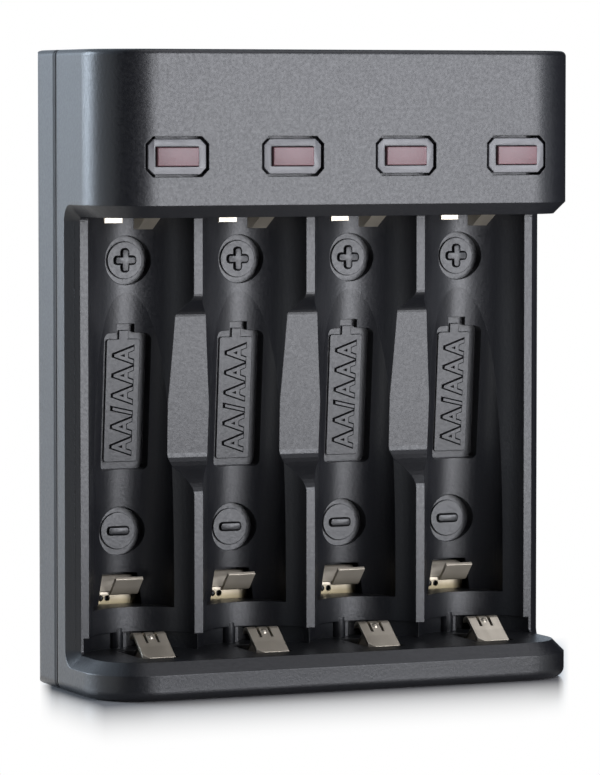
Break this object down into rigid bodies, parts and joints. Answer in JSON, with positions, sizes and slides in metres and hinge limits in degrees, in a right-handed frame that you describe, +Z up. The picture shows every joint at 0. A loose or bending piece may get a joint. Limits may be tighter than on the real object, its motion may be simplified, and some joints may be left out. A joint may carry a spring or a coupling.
{
  "type": "battery charger",
  "caption": "Upright black desk charger with side-by-side open bays for AA or AAA cells, sprung contacts and an indicator window over each bay.",
  "frame": {"origin": "on the resting plane, under the middle of the width and of the depth", "axes": "+Z up the bays, -Y towards the open front, +X to the right seen from the front"},
  "size_m": [0.0648, 0.0242, 0.079],
  "materials": {
    "case_black": "finely textured black ABS",
    "bezel_grey": "smooth satin grey",
    "lens_pink": "translucent pink, smooth",
    "contact_nickel": "nickel-plated spring sheet",
    "board_green": "solder mask",
    "lamp_white": "clear epoxy",
    "inlet_steel": "plated shell",
    "screw_steel": "zinc plated",
    "capacitor_tan": "ceramic body",
    "chip_black": "moulded package"
  },
  "bodies": {
    "housing": {"front_shell": "case_black", "rear_cover": "case_black", "light_shield": "bezel_grey", "lens_1": "lens_pink", "lens_2": "lens_pink", "lens_3": "lens_pink", "lens_4": "lens_pink", "positive_contact_1": "contact_nickel", "positive_contact_2": "contact_nickel", "positive_contact_3": "contact_nickel", "positive_contact_4": "contact_nickel", "circuit_board": "board_green", "indicator_leds": "lamp_white", "charging_inlet": "inlet_steel", "charge_controller": "chip_black", "channel_transistors": "chip_black", "filter_capacitors": "capacitor_tan", "cover_screws": "screw_steel"},
    "aa_leaf_1": {"aa_contact_1": "contact_nickel"},
    "aaa_leaf_1": {"aaa_contact_1": "contact_nickel"},
    "aa_leaf_2": {"aa_contact_2": "contact_nickel"},
    "aaa_leaf_2": {"aaa_contact_2": "contact_nickel"},
    "aa_leaf_3": {"aa_contact_3": "contact_nickel"},
    "aaa_leaf_3": {"aaa_contact_3": "contact_nickel"},
    "aa_leaf_4": {"aa_contact_4": "contact_nickel"},
    "aaa_leaf_4": {"aaa_contact_4": "contact_nickel"}
  },
  "joints": [
    {"name": "aa_leaf_1_flex", "type": "hinge", "parent": "housing", "child": "aa_leaf_1", "pos_m": [-0.0228, 0.00215, 0.003], "axis": [1, 0, 0], "range_deg": [0, 12], "stiffness_Nm_per_rad": 0.06},
    {"name": "aa_leaf_2_flex", "type": "hinge", "parent": "housing", "child": "aa_leaf_2", "pos_m": [-0.0076, 0.00215, 0.003], "axis": [1, 0, 0], "range_deg": [0, 12], "stiffness_Nm_per_rad": 0.06},
    {"name": "aa_leaf_3_flex", "type": "hinge", "parent": "housing", "child": "aa_leaf_3", "pos_m": [0.0076, 0.00215, 0.003], "axis": [1, 0, 0], "range_deg": [0, 12], "stiffness_Nm_per_rad": 0.06},
    {"name": "aa_leaf_4_flex", "type": "hinge", "parent": "housing", "child": "aa_leaf_4", "pos_m": [0.0228, 0.00215, 0.003], "axis": [1, 0, 0], "range_deg": [0, 12], "stiffness_Nm_per_rad": 0.06},
    {"name": "aaa_leaf_1_flex", "type": "hinge", "parent": "housing", "child": "aaa_leaf_1", "pos_m": [-0.0228, 0.00995, 0.0091], "axis": [1, 0, 0], "range_deg": [0, 12], "stiffness_Nm_per_rad": 0.06},
    {"name": "aaa_leaf_2_flex", "type": "hinge", "parent": "housing", "child": "aaa_leaf_2", "pos_m": [-0.0076, 0.00995, 0.0091], "axis": [1, 0, 0], "range_deg": [0, 12], "stiffness_Nm_per_rad": 0.06},
    {"name": "aaa_leaf_3_flex", "type": "hinge", "parent": "housing", "child": "aaa_leaf_3", "pos_m": [0.0076, 0.00995, 0.0091], "axis": [1, 0, 0], "range_deg": [0, 12], "stiffness_Nm_per_rad": 0.06},
    {"name": "aaa_leaf_4_flex", "type": "hinge", "parent": "housing", "child": "aaa_leaf_4", "pos_m": [0.0228, 0.00995, 0.0091], "axis": [1, 0, 0], "range_deg": [0, 12], "stiffness_Nm_per_rad": 0.06}
  ]
}
